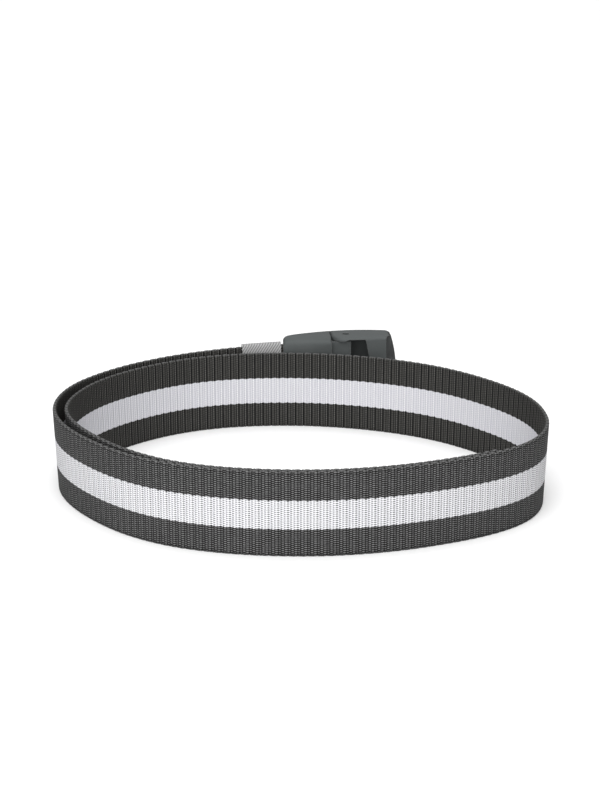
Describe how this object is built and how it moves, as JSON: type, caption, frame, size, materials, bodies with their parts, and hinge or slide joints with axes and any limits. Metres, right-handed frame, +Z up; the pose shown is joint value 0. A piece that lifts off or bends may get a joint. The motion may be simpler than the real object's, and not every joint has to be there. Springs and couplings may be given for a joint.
{
  "type": "canvas web belt",
  "caption": "Striped canvas web belt coiled on its edge, with a keeper loop and a hinged clamp buckle on its fixed end.",
  "frame": {"origin": "on the surface that the belt stands on, under the middle of its bounding box", "axes": "+X along the coil's long side to the right, +Y from the front of the coil to the buckle at its back, +Z up"},
  "size_m": [0.2264, 0.2032, 0.045],
  "materials": {
    "webbing": "matt woven canvas, charcoal with a white middle band",
    "twill": "matt light grey twill tape",
    "buckle_metal": "satin grey",
    "pin_metal": "dark satin"
  },
  "bodies": {
    "belt": {"strap": "webbing", "keeper_loop": "twill", "buckle_jaw": "buckle_metal", "hinge_pin": "pin_metal"},
    "frame": {"buckle_frame": "buckle_metal"}
  },
  "joints": [
    {"name": "frame_hinge", "type": "hinge", "parent": "belt", "child": "frame", "pos_m": [0.02381, 0.094, 0.0225], "axis": [0, 0, -1], "range_deg": [0, 30]}
  ]
}
